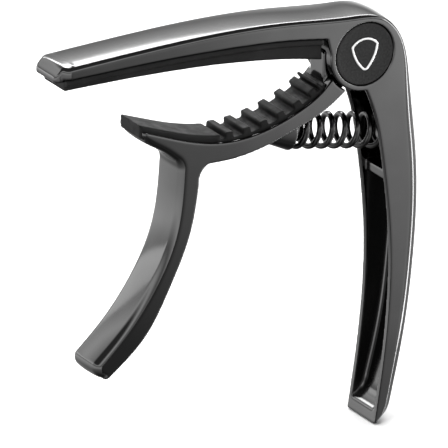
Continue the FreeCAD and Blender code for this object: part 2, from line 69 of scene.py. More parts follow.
FRAME_LOW, FRAME_HIGH = box_mm("frame_casting")
LEVER_LOW, LEVER_HIGH = box_mm("trigger_lever")
STRING_PAD_LOW, STRING_PAD_HIGH = box_mm("string_pad")
NECK_PAD_LOW, NECK_PAD_HIGH = box_mm("neck_pad")
SPRING_HIGH = box_mm("compression_spring")[1]
CAP_LOW, CAP_HIGH = box_mm("front_cap")
INLAY_LOW, INLAY_HIGH = box_mm("front_cap_inlay")

HALF_FRAME = FRAME_HIGH[1]
HALF_LEVER = LEVER_HIGH[1]
LIP_LENGTH = 1.6
BAR_REACH = -FRAME_LOW[0] - LIP_LENGTH
HANDLE_DROP = -FRAME_LOW[2]
JAW_REACH = -NECK_PAD_LOW[0]
TRIGGER_DROP = -LEVER_LOW[2]
EAR_RADIUS = 8.3
RECESS_RADIUS = 7.0
RECESS_DEPTH = 0.9
HALF_GAP = 3.5
HANDLE_WALL = 1.2
BACK_WALL = 1.6
KNUCKLE_RADIUS = 6.4
TROUGH_DEPTH = 1.8
NECK_PAD_HALF = NECK_PAD_HIGH[1]
GRIP_RIB_COUNT = 6
GRIP_RIB_PITCH = 4.4         # along the rim of the jaw
GRIP_RIB_THICK = 2.1
GRIP_RIB_PROUD = 1.9
GRIP_RIB_SETBACK = 3.2
END_RIB_THICK = 0.8
CELL = 0.3                  # grid spacing of the solid modeller
PAD_CELL = 0.25             # the same, for the pads
WELL_CLEAR = 30             # far enough to clear whatever edge it is used beside

# ---------------------------------------------------------------- side profiles, as in the CAD model
BAR_TOP = [(1.0, 9.8), (0.75, 10.7), (0.5, 11.2), (0.23, 10.4), (0.04, 9.1)]
BAR_UNDER = [(1.0, 7.0), (0.69, 7.4), (0.41, 7.0), (0.23, 6.0), (0.125, 4.9)]
SHOULDER = [(4.6, 7.8), (8.4, 4.4)]
HANDLE_BACK = [(0.08, 11.6), (0.2, 12.9), (0.37, 13.8), (0.56, 12.9), (0.77, 10.4), (0.945, 7.0)]
HANDLE_MOUTH = [(0.997, 1.6), (0.81, 4.15), (0.53, 5.8), (0.27, 3.95), (0.17, 2.4)]
JAW_TOP = [(1.0, -7.9), (0.9, -10.0), (0.74, -12.9), (0.6, -14.0), (0.43, -12.9),
           (0.3, -10.5), (0.17, -6.3), (0.139, -4.6)]
JAW_UNDER = [(0.7, -18.1), (0.61, -18.1), (0.43, -16.5), (0.3, -14.1), (0.17, -11.1), (0.082, -8.1)]
TRIGGER_FRONT = [(-44.7, 0.3), (-46.9, 0.53), (-52.9, 0.72), (-58.3, 0.83), (-65.5, 0.94)]
TRIGGER_REAR = [(-62.4, 1.0), (-53.1, 0.87), (-47.6, 0.725), (-42.0, 0.52), (-40.0, 0.36)]


def along(profile, reach):
    return [(-share * reach, z) for share, z in profile]


def down(profile, drop):
    return [(x, -share * drop) for share, x in profile]


def spline(points, spacing=0.6):
    """Even points along a natural cubic spline through the given points."""
    p = np.array(points, float)
    gaps = np.linalg.norm(np.diff(p, axis=0), axis=1)
    t = np.concatenate([[0], np.cumsum(gaps)])
    n = len(p)
    system = np.zeros((n, n))
    right = np.zeros((n, 2))
    system[0, 0] = system[-1, -1] = 1
    for i in range(1, n - 1):
        system[i, i - 1:i + 2] = gaps[i - 1], 2 * (gaps[i - 1] + gaps[i]), gaps[i]
        right[i] = 6 * ((p[i + 1] - p[i]) / gaps[i] - (p[i] - p[i - 1]) / gaps[i - 1])
    bend = np.linalg.solve(system, right)
    s = np.linspace(0, t[-1], max(2, int(t[-1] / spacing)) + 1)
    i = np.clip(np.searchsorted(t, s, side="right") - 1, 0, n - 2)
    h = gaps[i][:, None]
    a = (t[i + 1] - s)[:, None]
    b = (s - t[i])[:, None]
    return (bend[i] * a ** 3 + bend[i + 1] * b ** 3) / (6 * h) \
        + (p[i] / h - bend[i] * h / 6) * a + (p[i + 1] / h - bend[i + 1] * h / 6) * b


def arc_points(centre, radius, start, stop, count=24):
    turn = np.radians(np.linspace(start, stop, count))
    return np.stack([centre[0] + radius * np.cos(turn), centre[1] + radius * np.sin(turn)], axis=1)


def through_arc(a, middle, b, count=12):
    """Points on the circle through three points, from a to b."""
    (ax, ay), (bx, by), (cx, cy) = a, middle, b
    d = 2 * (ax * (by - cy) + bx * (cy - ay) + cx * (ay - by))
    aa, bb, cc = ax ** 2 + ay ** 2, bx ** 2 + by ** 2, cx ** 2 + cy ** 2
    ux = (aa * (by - cy) + bb * (cy - ay) + cc * (ay - by)) / d
    uy = (aa * (cx - bx) + bb * (ax - cx) + cc * (bx - ax)) / d
    radius = math.hypot(ax - ux, ay - uy)
    turns = np.unwrap([math.atan2(q[1] - uy, q[0] - ux) for q in (a, middle, b)])
    t = np.linspace(turns[0], turns[2], count)
    return np.stack([ux + radius * np.cos(t), uy + radius * np.sin(t)], axis=1)


# ---------------------------------------------------------------- a small solid modeller
# A solid is a field that is negative inside. Side profiles are distances in X and Z, made solid
# between two side faces, and a surface net turns the field into an even quad mesh.

class Grid:
    """Open grid of X, Y, Z positions around a box, for evaluating fields."""

    def __init__(self, low, high, cell=CELL):
        margin = 3 * cell
        self.cell = cell
        self.low = np.array(low, float) - margin
        counts = np.ceil((np.array(high, float) + margin - self.low) / cell).astype(int) + 1
        axes = [self.low[k] + cell * np.arange(counts[k]) for k in range(3)]
        self.x = axes[0][:, None, None]
        self.y = axes[1][None, :, None]
        self.z = axes[2][None, None, :]


def profile_field(grid, outline):
    """Signed distance in the XZ plane to a closed outline, negative inside."""
    start = np.asarray(outline, float)
    end = np.roll(start, -1, axis=0)
    px, pz = (v.ravel() for v in np.broadcast_arrays(grid.x[:, 0, :], grid.z[0, 0, :][None, :]))
    nearest = np.full(px.shape, 1e9)
    inside = np.zeros(px.shape, bool)
    for (ax, az), (bx, bz) in zip(start, end):
        dx, dz = bx - ax, bz - az
        length = dx * dx + dz * dz
        if length < 1e-12:
            continue
        t = np.clip(((px - ax) * dx + (pz - az) * dz) / length, 0, 1)
        nearest = np.minimum(nearest, (px - ax - t * dx) ** 2 + (pz - az - t * dz) ** 2)
        if dz:
            crosses = ((az > pz) != (bz > pz)) & (px < dx * (pz - az) / dz + ax)
            inside ^= crosses
    distance = np.sqrt(nearest)
    signed = np.where(inside, -distance, distance)
    return signed.reshape(grid.x.shape[0], grid.z.shape[2])[:, None, :]


def disc_field(grid, radius, x=0.0, z=0.0):
    return np.hypot(grid.x - x, grid.z - z) - radius


def rounded_meet(a, b, radius):
    """Where two solids overlap, with the edge between them rounded."""
    corner = np.hypot(np.maximum(a + radius, 0), np.maximum(b + radius, 0))
    return corner + np.minimum(np.maximum(a, b) + radius, 0) - radius


def soft_join(a, b, radius):
    """Two solids together, with a fillet where they meet."""
    blend = np.maximum(radius - np.abs(a - b), 0) / radius
    return np.minimum(a, b) - blend * blend * radius / 4


def cut(a, b, radius=0.25):
    return rounded_meet(a, -b, radius)


def slab(grid, half):
    return np.abs(grid.y) - half


def plate(grid, profile, half, radius):
    """A side profile made solid, half its width each side, with rounded edges."""
    return rounded_meet(profile + 0 * grid.y, slab(grid, half) + 0 * profile, radius)


def smooth_step(value, low, high):
    t = np.clip((value - low) / (high - low), 0, 1)
    return t * t * (3 - 2 * t)


def line_distance(grid, points):
    """Distance in the XZ plane to an open line."""
    px, pz = grid.x[:, :, 0], grid.z[0, :, :]
    nearest = np.full(np.broadcast(px, pz).shape, 1e9)
    for (ax, az), (bx, bz) in zip(points, points[1:]):
        dx, dz = bx - ax, bz - az
        t = np.clip(((px - ax) * dx + (pz - az) * dz) / (dx * dx + dz * dz), 0, 1)
        nearest = np.minimum(nearest, (px - ax - t * dx) ** 2 + (pz - az - t * dz) ** 2)
    return np.sqrt(nearest)[:, None, :]


def surface_net(field, grid):
    """Quads, corner positions and normals of a field's zero surface."""
    inside = field < 0
    cells = tuple(n - 1 for n in field.shape)
    total = np.zeros((3, int(np.prod(cells))))
    count = np.zeros(total.shape[1])
    quads = []
    for axis in range(3):
        f = np.moveaxis(field, axis, 0)
        solid = np.moveaxis(inside, axis, 0)
        others = [k for k in range(3) if k != axis]
        a, b, c = np.nonzero(solid[:-1] != solid[1:])
        here, there = f[a, b, c], f[a + 1, b, c]
        share = here / (here - there)
        corners = []
        for db, dc in ((-1, -1), (0, -1), (0, 0), (-1, 0)):
            place = [None] * 3
            place[axis], place[others[0]], place[others[1]] = a, b + db, c + dc
            cell_id = np.ravel_multi_index(place, cells)
            position = [None] * 3
            position[axis], position[others[0]], position[others[1]] = a + share, b, c
            for k in range(3):
                total[k] += np.bincount(cell_id, weights=position[k], minlength=len(count))
            count += np.bincount(cell_id, minlength=len(count))
            corners.append(cell_id)
        outward = solid[a, b, c] if axis != 1 else ~solid[a, b, c]
        ring = np.stack(corners, axis=1)
        quads.append(np.where(outward[:, None], ring, ring[:, ::-1]))
    quads = np.concatenate(quads)
    used, quads = np.unique(quads, return_inverse=True)
    place = (total[:, used] / count[used]).T
    return quads.reshape(-1, 4), grid.low + grid.cell * place, field_normals(field, place)


def field_normals(field, place):
    """Unit gradient of the field at fractional grid positions."""
    low = np.floor(place).astype(int)
    part = place - low
    normals = np.zeros_like(place)
    for k, slope in enumerate(np.gradient(field)):
        for corner in np.ndindex(2, 2, 2):
            weight = np.prod(np.abs(1 - np.array(corner) - part), axis=1)
            normals[:, k] += weight * slope[tuple((low + corner).T)]
    return normals / np.linalg.norm(normals, axis=1)[:, None]


def to_row(points):
    """Millimetres about the pivot to metres in the row frame."""
    return np.asarray(points, float) * MM + PIVOT


def make_mesh(name, corners, faces, normals=None):
    mesh = bpy.data.meshes.new(name)
    mesh.from_pydata(to_row(corners).tolist(), [], [list(map(int, face)) for face in faces])
    mesh.shade_smooth()
    if normals is not None:
        mesh.normals_split_custom_set_from_vertices(normals.tolist())
    piece = bpy.data.objects.new(name, mesh)
    bpy.context.scene.collection.objects.link(piece)
    return piece


def net_piece(name, field, grid):
    quads, corners, normals = surface_net(field, grid)
    return make_mesh(name, corners, quads, normals)


def sorted_line(line):
    """X and Z of a line, in order of X, as numpy's interp wants them."""
    order = np.argsort(line[:, 0])
    return line[order, 0], line[order, 1]


def band(grid, line, low, high, x_from, x_to):
    """Side profile between two raised copies of a line; each height is a number or a function of X."""
    x = np.linspace(x_from, x_to, int(abs(x_to - x_from) / 0.4) + 2)
    z = np.interp(x, *sorted_line(line))
    edges = []
    for height in (low, high):
        raised = z + (height(x) if callable(height) else height)
        edges.append(np.stack([x, raised], axis=1))
    return profile_field(grid, np.concatenate([edges[0], edges[1][::-1]]))


# ---------------------------------------------------------------- spring axis
LEVER_SEAT = (-15.4, -16.21)
HANDLE_SEAT = (9.2, -20.51)
SPRING_WIRE = 1.3
SPRING_OUTER_RADIUS = SPRING_HIGH[1]
SPRING_LENGTH = math.dist(LEVER_SEAT, HANDLE_SEAT)
SPRING_RUN = tuple((stop - start) / SPRING_LENGTH for start, stop in zip(LEVER_SEAT, HANDLE_SEAT))
SEAT_MARGIN = 0.3            # seat and boss, beyond the outside of the coils
SEAT_THICK = 2.8
PEG_INSET = 1.65             # pegs, inside the outside of the coils
PEG_LENGTH = 2.6
PEG_ROOT = 0.5               # pegs, into the casting


def about_spring(grid, seat):
    """Distance along the spring's axis from a seat, and distance from that axis."""
    dx, dz = grid.x - seat[0], grid.z - seat[1]
    along_axis = dx * SPRING_RUN[0] + dz * SPRING_RUN[1]
    across = dx * SPRING_RUN[1] - dz * SPRING_RUN[0]
    return along_axis + 0 * grid.y, np.hypot(across, grid.y)


def rod(along_axis, away, start, stop, radius, rounding=0.35):
    middle, half = (start + stop) / 2, (stop - start) / 2
    return rounded_meet(away - radius, np.abs(along_axis - middle) - half, rounding)


# ---------------------------------------------------------------- frame casting
HANDLE_END_X = 3.9            # lowest point of the handle
HANDLE_END_BULGE = (0.5, -0.3)
HOLLOW_END_INSET = (0.4, 3.0)
RAMP_END_INSET = (0.3, 2.6)
RAMP_BULGE = (0.5, -0.7)
EAR_MARGIN = 0.6              # the ears stay solid this far outside their radius
KNUCKLE_CLEARANCE = 0.5
SLOT_TOP, SLOT_LOW, SLOT_END_X = 1.4, -12.5, -17
WEB = [(6.1, -30.6), (12.6, -30.6), (12.6, -28.4), (6.1, -28.4)]      # across the hollow handle
EDGE_ROUND = 0.35             # inner edges of the casting
OUTER_ROUND = 0.55            # added along the outer curve
HANDLE_ROUND = 2.1            # and this much more down the handle
EAR_TURN = (-88, -188)        # where the round ears leave the handle and meet the bar, in degrees
BAR_PLAN_ROUND = 1.8          # corners at the end of the bar, seen from above
LIP_HALF_WIDTH = 4.7
LIP_HANG = 0.6
LIP_FACE = 1.3
LIP_TOP_DROP = 0.5
TOP_CROWN = 0.42              # fall of the outer face from its middle to each side
HANDLE_CROWN_LOSS = 0.3       # share of the crown that is gone down the handle
PAD_EAR_GAP = 1.5
PAD_INNER_X = -(EAR_RADIUS + PAD_EAR_GAP)
PAD_END_SETBACK = 0.6
PAD_FLANGE_THICK = 1.4
PAD_BODY_THICK = 1.25
PAD_BODY_GAIN = [0, 0.35, 0.9, 1.65, 2.25]      # at the pad's end, the three shares below, its inner end
PAD_GAIN_SHARES = [0.75, 0.5, 0.3]               # of the bar's reach
PAD_FLANGE_STEP = 0.8
PAD_KEY_HALF = 2.0
PAD_KEY_HEIGHT = 1.4
PAD_KEY_ROOT = 0.7            # key and groove, below the bar's underside
PAD_FIT = 0.1
PIN_RADIUS = 2.0
PIN_HEAD_RADIUS = 3.6
PIN_SEAT = 4.2
BUSHING_RADIUS = 3.05
FRONT, REAR = -1, 1


def bar_under():
    return spline(along(BAR_UNDER, BAR_REACH)[::-1], 0.3)


def frame_lines():
    """The outer curve from the end of the bar to the handle's lowest point, and the way back inside."""
    outer = spline(along(BAR_TOP, BAR_REACH) + SHOULDER + down(HANDLE_BACK, HANDLE_DROP), 0.4)
    heel = np.array([HANDLE_END_X, -HANDLE_DROP])
    heel_arc = through_arc(outer[-1], (outer[-1] + heel) / 2 + HANDLE_END_BULGE, heel)
    ear_low = arc_points((0, 0), EAR_RADIUS, EAR_TURN[0], EAR_TURN[0], 1)[0]
    mouth = spline(down(HANDLE_MOUTH, HANDLE_DROP) + [tuple(ear_low)], 0.4)
    ear = arc_points((0, 0), EAR_RADIUS, *EAR_TURN, 70)
    beyond = np.array([[-3.0, 0]])
    outer_line = np.concatenate([outer[:1] + beyond, outer, heel_arc[1:]])
    under = bar_under()
    inner_line = np.concatenate([mouth, ear[1:], under, under[-1:] + beyond])
    return outer_line, inner_line


def hollow_field(grid):
    """Inside of the handle, open towards the trigger, with a ramp at its lower end."""
    back = [(x - BACK_WALL, z) for x, z in down(HANDLE_BACK, HANDLE_DROP)]
    back[-1] = tuple(np.add(back[-1], HOLLOW_END_INSET))
    ramp_end = tuple(np.add(down(HANDLE_MOUTH, HANDLE_DROP)[0], RAMP_END_INSET))
    bend = np.add(back[-1], ramp_end) / 2 + RAMP_BULGE
    back_line = spline(back, 0.4)
    ramp = through_arc(back_line[-1], bend, ramp_end)
    open_side = [(-WELL_CLEAR, ramp_end[1]), (-WELL_CLEAR, back[0][1])]
    hollow = plate(grid, profile_field(grid, np.concatenate([back_line, ramp[1:], open_side])),
                   HALF_FRAME - HANDLE_WALL, 0.7)
    return rounded_meet(hollow, -disc_field(grid, EAR_RADIUS + EAR_MARGIN), 0.4)


def bar_nose(grid):
    """Narrow sloping nose at the end of the bar, below the crowned top."""
    end, tip = -BAR_REACH, FRAME_LOW[0]
    low, high = BAR_UNDER[0][1] - LIP_HANG, BAR_TOP[0][1] - LIP_TOP_DROP
    side = profile_field(grid, [
        (end + 3, low), (tip - 2, low), (tip - 2, low + LIP_FACE - 1.2), (tip, low + LIP_FACE),
        (end, high), (end + 3, high + 0.5)])
    plan = rounded_meet(tip - grid.x, slab(grid, LIP_HALF_WIDTH), 1.1)
    return rounded_meet(side + 0 * grid.y, plan + 0 * side, 0.3)


def frame_casting():
    grid = Grid(FRAME_LOW, FRAME_HIGH)
    outer_line, inner_line = frame_lines()
    profile = profile_field(grid, np.concatenate([outer_line, inner_line]))
    outside = smooth_step(line_distance(grid, inner_line) - line_distance(grid, outer_line), -1.0, 1.0)
    down_handle = smooth_step(-grid.z, -4.0, 20.0)
    rounding = EDGE_ROUND + outside * (OUTER_ROUND + HANDLE_ROUND * down_handle)
    crown = TOP_CROWN * outside * (1 - HANDLE_CROWN_LOSS * down_handle) * (grid.y / HALF_FRAME) ** 2
    plan = rounded_meet(-grid.x - BAR_REACH, slab(grid, HALF_FRAME), BAR_PLAN_ROUND)
    body = rounded_meet(profile + crown, plan + 0 * profile, rounding)
    body = soft_join(body, bar_nose(grid), 0.2)

    # slot between the ears, for the knuckle
    room = KNUCKLE_RADIUS + KNUCKLE_CLEARANCE
    slot = np.minimum(disc_field(grid, room), profile_field(grid, [
        (SLOT_END_X, SLOT_TOP), (0, SLOT_TOP), (room, 0), (room, SLOT_LOW), (SLOT_END_X, SLOT_LOW)]))
    body = cut(body, plate(grid, slot, HALF_GAP, 0.2), 0.3)
    body = cut(body, hollow_field(grid), 0.35)

    # web across the hollow, and the spring's seat and peg
    body = soft_join(body, plate(grid, profile_field(grid, WEB), HALF_FRAME - 0.75 * HANDLE_WALL, 0.3), 0.3)
    along_axis, away = about_spring(grid, HANDLE_SEAT)
    body = soft_join(body, rod(along_axis, away, 0, SEAT_THICK, SPRING_OUTER_RADIUS + SEAT_MARGIN), 0.4)
    peg = rod(along_axis, away, -PEG_LENGTH, PEG_ROOT, SPRING_OUTER_RADIUS - PEG_INSET)
    body = soft_join(body, peg, 0.3)

    # recesses for the caps, counterbores and bore for the pin
    for radius, floor in ((RECESS_RADIUS, HALF_FRAME - RECESS_DEPTH), (PIN_HEAD_RADIUS, PIN_SEAT)):
        recess = np.maximum(disc_field(grid, radius), floor - np.abs(grid.y))
        body = cut(body, recess, 0.2)
    body = np.maximum(body, -disc_field(grid, PIN_RADIUS))

    # groove for the key of the string pad
    groove = band(grid, bar_under(), -PAD_KEY_ROOT, PAD_KEY_HEIGHT + PAD_FIT,
                  -BAR_REACH + PAD_END_SETBACK - PAD_FIT, PAD_INNER_X + PAD_FIT)
    body = np.maximum(body, -plate(grid, groove, PAD_KEY_HALF + PAD_FIT, 0.1))
    return finish_piece(net_piece("frame_casting_body", body, grid), "frame", "black_chrome", "frame_casting")


# ---------------------------------------------------------------- lever casting
HEEL_POINTS = [(8.0, -15.9), (5.4, -13.8), (2.4, -11.9)]
JAW_EAR_CLEARANCE = 0.4
JAW_HOLLOW_RADIUS = EAR_RADIUS + JAW_EAR_CLEARANCE
TRIGGER_ROOT = 39.9           # pivot axis to the trigger's root, as its points are given
TRIGGER_ROOT_SHARE = 0.742    # the same, as a share of the jaw's reach
CORNER_BULGE = (-0.45, 0.75)  # behind the trigger, under the jaw
BEND_BULGE = (0.35, 0.25)     # in front of the trigger, under the jaw
TIP_BULGE = (-0.9, 0.7)       # lowest end of the trigger
LEVER_ROUND = 0.4             # edges of the casting
FACE_ROUND = 1.2              # added along the trigger's outer face
HALF_TONGUE = 2.9
BOSS_LENGTH = 5.5
BOSS_TAPER = 1.6
TIP_PLAN_ROUND = 1.3
FACE_CROWN = 0.3
BOSS_COIL_CLEARANCE = 0.5     # hollow of the boss, round the coils


def trigger_points(profile):
    shift = TRIGGER_ROOT - TRIGGER_ROOT_SHARE * JAW_REACH
    return [(x + shift, -share * TRIGGER_DROP) for x, share in profile]


def on_jaw_hollow(point):
    scale = JAW_HOLLOW_RADIUS / math.hypot(*point)
    return (point[0] * scale, point[1] * scale)


def jaw_rim():
    return spline(along(JAW_TOP, JAW_REACH), 0.3)


def lever_lines():
    """Closed outline of the casting, and the stretch of it along the trigger's outer face."""
    top, under = along(JAW_TOP, JAW_REACH), along(JAW_UNDER, JAW_REACH)[::-1]
    hollow_top, hollow_low = on_jaw_hollow(top[-1]), on_jaw_hollow(under[0])
    turns = [math.degrees(math.atan2(z, x)) for x, z in (hollow_top, hollow_low)]
    rear = spline(trigger_points(TRIGGER_REAR)[::-1], 0.4)
    front = spline(trigger_points(TRIGGER_FRONT)[::-1], 0.4)
    end_low = (-JAW_REACH, JAW_TOP[0][1] - TROUGH_DEPTH - 0.4)
    heel = spline([(x - JAW_REACH, z) for x, z in HEEL_POINTS] + [end_low], 0.3)
    under_line = spline([hollow_low] + under[1:], 0.4)
    corner = through_arc(under_line[-1], (under_line[-1] + rear[0]) / 2 + CORNER_BULGE, rear[0])
    tip_x = (front[0][0] + rear[-1][0]) / 2 + TIP_BULGE[0]
    tip = through_arc(rear[-1], [tip_x, TIP_BULGE[1] - TRIGGER_DROP], front[0])
    bend = through_arc(front[-1], (front[-1] + heel[0]) / 2 + BEND_BULGE, heel[0])
    face = np.concatenate([tip[3:], front[1:], bend[1:], heel[1:]])
    outline = np.concatenate([
        spline(top[:-1] + [hollow_top], 0.3), arc_points((0, 0), JAW_HOLLOW_RADIUS, *turns, 14)[1:],
        under_line[1:], corner[1:], rear[1:], tip[1:], front[1:], bend[1:], heel[1:]])
    return outline, face


def tongue_field(grid, rim):
    """Knuckle round the bushing, and the tongue that joins it to the jaw."""
    pad_end = NECK_PAD_HIGH[0] + 0.1
    rim_z = np.interp(pad_end, *sorted_line(rim))
    side = profile_field(grid, [
        (-5.3, 1.1), (-8.3, 1.1), (pad_end, rim_z + 0.5), (pad_end, rim_z - TROUGH_DEPTH - 1),
        (-7.4, -8.1), (-4.4, -8.1), (-1.1, -6.3), (0, 0)])
    return soft_join(plate(grid, disc_field(grid, KNUCKLE_RADIUS), HALF_TONGUE, 0.3),
                     plate(grid, side, HALF_TONGUE, 0.3), 0.4)


def trigger_lever():
    grid = Grid(LEVER_LOW, LEVER_HIGH)
    outline, face = lever_lines()
    rim = jaw_rim()
    profile = profile_field(grid, outline)
    near_face = smooth_step(np.abs(profile) - line_distance(grid, face), -0.8, 0.0)
    rounding = LEVER_ROUND + FACE_ROUND * near_face
    crown = FACE_CROWN * near_face * (grid.y / HALF_LEVER) ** 2
    jaw_end = -grid.x - JAW_REACH - WELL_CLEAR * (1 - smooth_step(grid.z, -13.5, -11.5))
    plan = rounded_meet(jaw_end + 0 * grid.y, slab(grid, HALF_LEVER) + 0 * jaw_end, TIP_PLAN_ROUND)
    body = rounded_meet(profile + crown, plan, rounding)

    trough = band(grid, rim, -TROUGH_DEPTH, 8.0, -JAW_REACH - 3, NECK_PAD_HIGH[0])
    body = cut(body, plate(grid, trough, NECK_PAD_HALF + 0.05, 0.15), 0.22)
    body = soft_join(body, tongue_field(grid, rim), 0.4)

    # tapered boss under the jaw, hollow round the first coils, and the peg inside the spring
    along_axis, away = about_spring(grid, LEVER_SEAT)
    taper = BOSS_TAPER * np.clip(-along_axis / BOSS_LENGTH, 0, 1)
    boss = rod(along_axis, away + taper, -BOSS_LENGTH, 0, SPRING_OUTER_RADIUS + SEAT_MARGIN)
    above_jaw = band(grid, rim, -TROUGH_DEPTH, 12.0, -JAW_REACH, NECK_PAD_HIGH[0])
    body = soft_join(body, np.maximum(boss, -above_jaw), 1.0)
    room = rod(along_axis, away, 0, SPRING_LENGTH, SPRING_OUTER_RADIUS + BOSS_COIL_CLEARANCE)
    body = cut(body, room, 0.25)
    peg = rod(along_axis, away, -PEG_ROOT, PEG_LENGTH, SPRING_OUTER_RADIUS - PEG_INSET)
    body = soft_join(body, peg, 0.2)
    body = np.maximum(body, -disc_field(grid, BUSHING_RADIUS))
    return finish_piece(net_piece("trigger_lever_body", body, grid), "lever", "black_chrome", "trigger_lever")


# ---------------------------------------------------------------- rubber pads
NECK_PAD_PROUD = 1.5         # smooth stretch, above the rim of the jaw
NECK_PAD_THINNING = [(1.0, 0.8), (0.9, 0.9), (0.74, 1.0)]     # shares of JAW_REACH and NECK_PAD_PROUD
VALLEY_PROUD = 0.5           # between the ribs, above the rim of the jaw
GRIP_RIB_TAPER = 0.85        # thickness at the crest, as a share of that at the root
GRIP_RIB_ROOT = 1.0          # ribs, below the rim of the jaw


def string_pad():
    grid = Grid(STRING_PAD_LOW, STRING_PAD_HIGH, PAD_CELL)
    under = bar_under()
    start, stop = -BAR_REACH + PAD_END_SETBACK, PAD_INNER_X

    def face_drop(x):
        stations = [start] + [-share * BAR_REACH for share in PAD_GAIN_SHARES] + [stop]
        return -(PAD_FLANGE_THICK + PAD_BODY_THICK + np.interp(x, stations, PAD_BODY_GAIN))

    half = STRING_PAD_HIGH[1]
    flange = plate(grid, band(grid, under, -PAD_FLANGE_THICK, 0, start, stop), half, 0.3)
    face = plate(grid, band(grid, under, face_drop, -0.5, start, stop), half - PAD_FLANGE_STEP, 0.7)
    key = plate(grid, band(grid, under, -PAD_KEY_ROOT, PAD_KEY_HEIGHT, start, stop), PAD_KEY_HALF, 0.3)
    body = soft_join(soft_join(flange, face, 0.35), key, 0.1)
    return finish_piece(net_piece("string_pad_rubber", body, grid), "frame", "pad_rubber", "string_pad")


def rib_places(rim):
    """X of each wide rib, at an even pitch along the rim from the pad's inner end."""
    steps = np.linalg.norm(np.diff(rim, axis=0), axis=1)
    distance = np.concatenate([[0], np.cumsum(steps)])
    x, at_x = rim[:, 0], NECK_PAD_HIGH[0]
    inner = np.interp(at_x, x, distance)
    places = inner - GRIP_RIB_SETBACK - GRIP_RIB_PITCH * np.arange(GRIP_RIB_COUNT)
    return np.interp(places, distance, x)


def rib_field(grid, rim, x, thick):
    """One cross rib of the neck pad, standing square to the rim of the jaw."""
    ends = np.array([x - thick / 2, x + thick / 2])
    heights = np.interp(ends, *sorted_line(rim))
    run = np.array([ends[1] - ends[0], heights[1] - heights[0]])
    run /= np.linalg.norm(run)
    dx, dz = grid.x - x, grid.z - np.interp(x, *sorted_line(rim))
    along_rim, proud = dx * run[0] + dz * run[1], dz * run[0] - dx * run[1]
    half = thick / 2 * (1 - (1 - GRIP_RIB_TAPER) * np.clip(proud / GRIP_RIB_PROUD, 0, 1))
    middle, reach = (GRIP_RIB_PROUD - GRIP_RIB_ROOT) / 2, (GRIP_RIB_PROUD + GRIP_RIB_ROOT) / 2
    upright = np.abs(proud - middle) - reach
    side = rounded_meet(np.abs(along_rim) - half, upright, 0.25)
    return plate(grid, side, NECK_PAD_HALF, 0.25)


def neck_pad():
    grid = Grid(NECK_PAD_LOW, NECK_PAD_HIGH, PAD_CELL)
    rim = jaw_rim()
    places = rib_places(rim)
    step_x = places[-1] - GRIP_RIB_THICK

    def smooth_height(x):
        stations = [-share * JAW_REACH for share, thin in NECK_PAD_THINNING]
        return NECK_PAD_PROUD * np.interp(x, stations, [thin for share, thin in NECK_PAD_THINNING])

    smooth = band(grid, rim, -TROUGH_DEPTH, smooth_height, -JAW_REACH, step_x)
    valleys = band(grid, rim, -TROUGH_DEPTH, VALLEY_PROUD, step_x - 1, NECK_PAD_HIGH[0])
    body = soft_join(plate(grid, smooth, NECK_PAD_HALF, 0.45), plate(grid, valleys, NECK_PAD_HALF, 0.25), 0.5)
    for x in places:
        body = soft_join(body, rib_field(grid, rim, x, GRIP_RIB_THICK), 0.3)
    end_x = NECK_PAD_HIGH[0] - END_RIB_THICK
    body = soft_join(body, rib_field(grid, rim, end_x, END_RIB_THICK), 0.2)
    return finish_piece(net_piece("neck_pad_rubber", body, grid), "lever", "pad_rubber", "neck_pad")


# ---------------------------------------------------------------- compression spring
SPRING_COILS = 8
STEPS_PER_COIL = 56
WIRE_SIDES = 16
DEAD_TURN = 0.4              # part of a turn that is closed up, at each end
WIRE_CHAMFER = 0.2           # at the ends of a wire, as a share of its radius
SEAT_GAP = 0.05              # between the wire and each seat
CLOSED_PITCH = 1.02          # rise of a closed turn, in wire thicknesses
EASING = 12                  # steps each way over which the pitch eases in
ACROSS_HINT = (0.31, 0.95, 0.05)      # a direction that the coil's wire doesn't run along


def tube(name, path, radius, sides):
    """Round wire along a path, closed at both ends with a small chamfer."""
    path = np.asarray(path, float)
    ahead = np.gradient(path, axis=0)
    ahead /= np.linalg.norm(ahead, axis=1)[:, None]
    across = np.cross(ahead, np.array(ACROSS_HINT))
    across /= np.linalg.norm(across, axis=1)[:, None]
    for i in range(1, len(path)):
        turned = across[i - 1] - ahead[i] * (across[i - 1] @ ahead[i])
        across[i] = turned / np.linalg.norm(turned)
    upright = np.cross(ahead, across)
    chamfer = WIRE_CHAMFER * radius
    rings = [(path[0], 0, radius - chamfer)]
    rings += [(point, i, radius) for i, point in enumerate(path)]
    rings += [(path[-1], len(path) - 1, radius - chamfer)]
    corners, faces = [], []
    for k, (centre, i, size) in enumerate(rings):
        shift = -ahead[i] * chamfer if k == 0 else ahead[i] * chamfer if k == len(rings) - 1 else 0
        for j in range(sides):
            turn = 2 * math.pi * j / sides
            corners.append(centre + shift + size * (math.cos(turn) * across[i] + math.sin(turn) * upright[i]))
    for k in range(len(rings) - 1):
        for j in range(sides):
            a, b = k * sides + j, k * sides + (j + 1) % sides
            faces.append((a, b, b + sides, a + sides))
    faces.append(tuple(range(sides))[::-1])
    faces.append(tuple(range((len(rings) - 1) * sides, len(rings) * sides)))
    return make_mesh(name, corners, faces)


